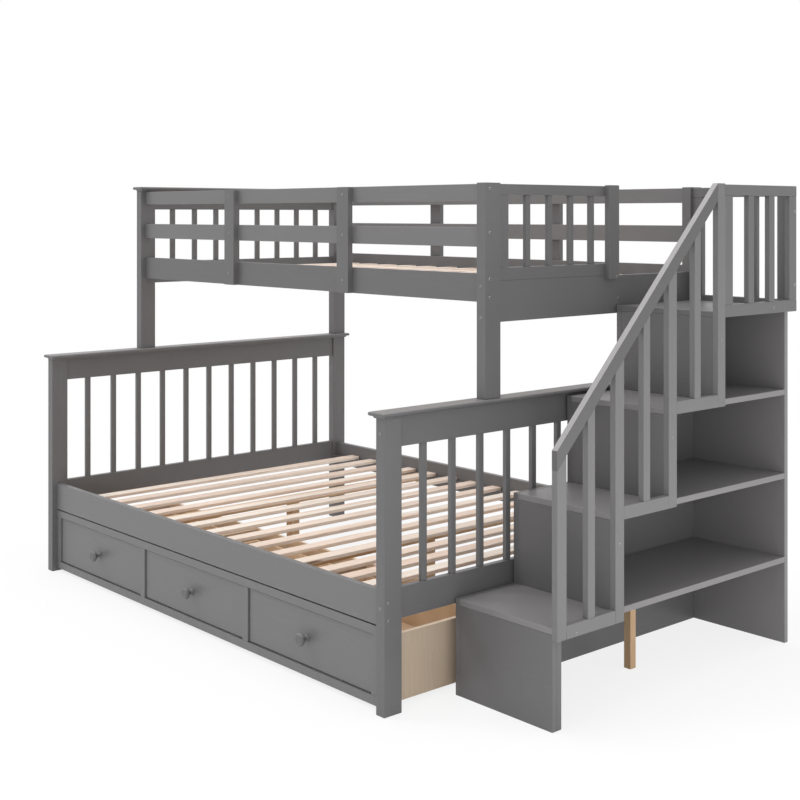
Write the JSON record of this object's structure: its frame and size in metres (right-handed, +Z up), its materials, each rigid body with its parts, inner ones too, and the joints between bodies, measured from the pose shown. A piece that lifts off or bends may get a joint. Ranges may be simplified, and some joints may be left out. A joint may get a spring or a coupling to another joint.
{
  "type": "bunk bed with storage stairs",
  "caption": "Wooden bunk bed: a wide lower bunk with drawers under it, a guarded narrower upper bunk, and stairs at the foot end with open cubbies and a sloping handrail.",
  "frame": {"origin": "on the floor, under the middle of the whole object's box", "axes": "+X along the beds from the head end to the stairs, +Y from the drawer fronts to the back, +Z up"},
  "size_m": [2.4166, 1.479, 1.496],
  "materials": {
    "grey_painted_wood": "satin paint over smooth wood",
    "natural_pine": "bare planed softwood",
    "drawer_wood": "clear matt lacquer",
    "zinc_bolts": "zinc plated",
    "glide_plastic": "moulded"
  },
  "bodies": {
    "frame": {"balustrade_balusters": "grey_painted_wood", "balustrade_low_rails": "grey_painted_wood", "balustrade_newels": "grey_painted_wood", "bolt_heads": "zinc_bolts", "case_glides": "glide_plastic", "centre_legs": "natural_pine", "cross_bearers": "natural_pine", "drawer_case_back": "drawer_wood", "drawer_case_panels": "drawer_wood", "drawer_face_frame": "grey_painted_wood", "drawer_runners": "drawer_wood", "foot_guard_balusters": "grey_painted_wood", "foot_guard_rails": "grey_painted_wood", "foot_guard_stiles": "grey_painted_wood", "footboard_balusters": "grey_painted_wood", "footboard_bottom_rail": "grey_painted_wood", "footboard_cap": "grey_painted_wood", "footboard_posts": "grey_painted_wood", "footboard_top_rail": "grey_painted_wood", "handrail": "grey_painted_wood", "headboard_balusters": "grey_painted_wood", "headboard_bottom_rail": "grey_painted_wood", "headboard_cap": "grey_painted_wood", "headboard_posts": "grey_painted_wood", "headboard_top_rail": "grey_painted_wood", "landing_back_guard": "grey_painted_wood", "landing_board": "grey_painted_wood", "landing_side_guard": "grey_painted_wood", "lower_ledges": "grey_painted_wood", "lower_slats": "natural_pine", "side_rail_back": "grey_painted_wood", "side_rail_front": "grey_painted_wood", "stair_back_panel": "grey_painted_wood", "stair_front_cleat": "grey_painted_wood", "stair_leg": "natural_pine", "stair_risers": "grey_painted_wood", "stair_shelves": "grey_painted_wood", "stair_side_panel": "grey_painted_wood", "upper_bed_rail_back": "grey_painted_wood", "upper_bed_rail_front": "grey_painted_wood", "upper_entry_rail": "grey_painted_wood", "upper_guard_rails_back": "grey_painted_wood", "upper_guard_rails_front": "grey_painted_wood", "upper_guard_stiles": "grey_painted_wood", "upper_head_balusters": "grey_painted_wood", "upper_head_cap": "grey_painted_wood", "upper_head_rails": "grey_painted_wood", "upper_ledges": "grey_painted_wood", "upper_posts": "grey_painted_wood", "upper_slats": "natural_pine"},
    "drawer_1": {"drawer_front_1": "grey_painted_wood", "drawer_box_1": "drawer_wood", "drawer_knob_1": "grey_painted_wood"},
    "drawer_2": {"drawer_front_2": "grey_painted_wood", "drawer_box_2": "drawer_wood", "drawer_knob_2": "grey_painted_wood"},
    "drawer_3": {"drawer_front_3": "grey_painted_wood", "drawer_box_3": "drawer_wood", "drawer_knob_3": "grey_painted_wood"}
  },
  "joints": [
    {"name": "drawer_1_slide", "type": "slide", "parent": "frame", "child": "drawer_1", "axis": [0, -1, 0], "range_m": [0, 0.34]},
    {"name": "drawer_2_slide", "type": "slide", "parent": "frame", "child": "drawer_2", "axis": [0, -1, 0], "range_m": [0, 0.34]},
    {"name": "drawer_3_slide", "type": "slide", "parent": "frame", "child": "drawer_3", "axis": [0, -1, 0], "range_m": [0, 0.34]}
  ]
}
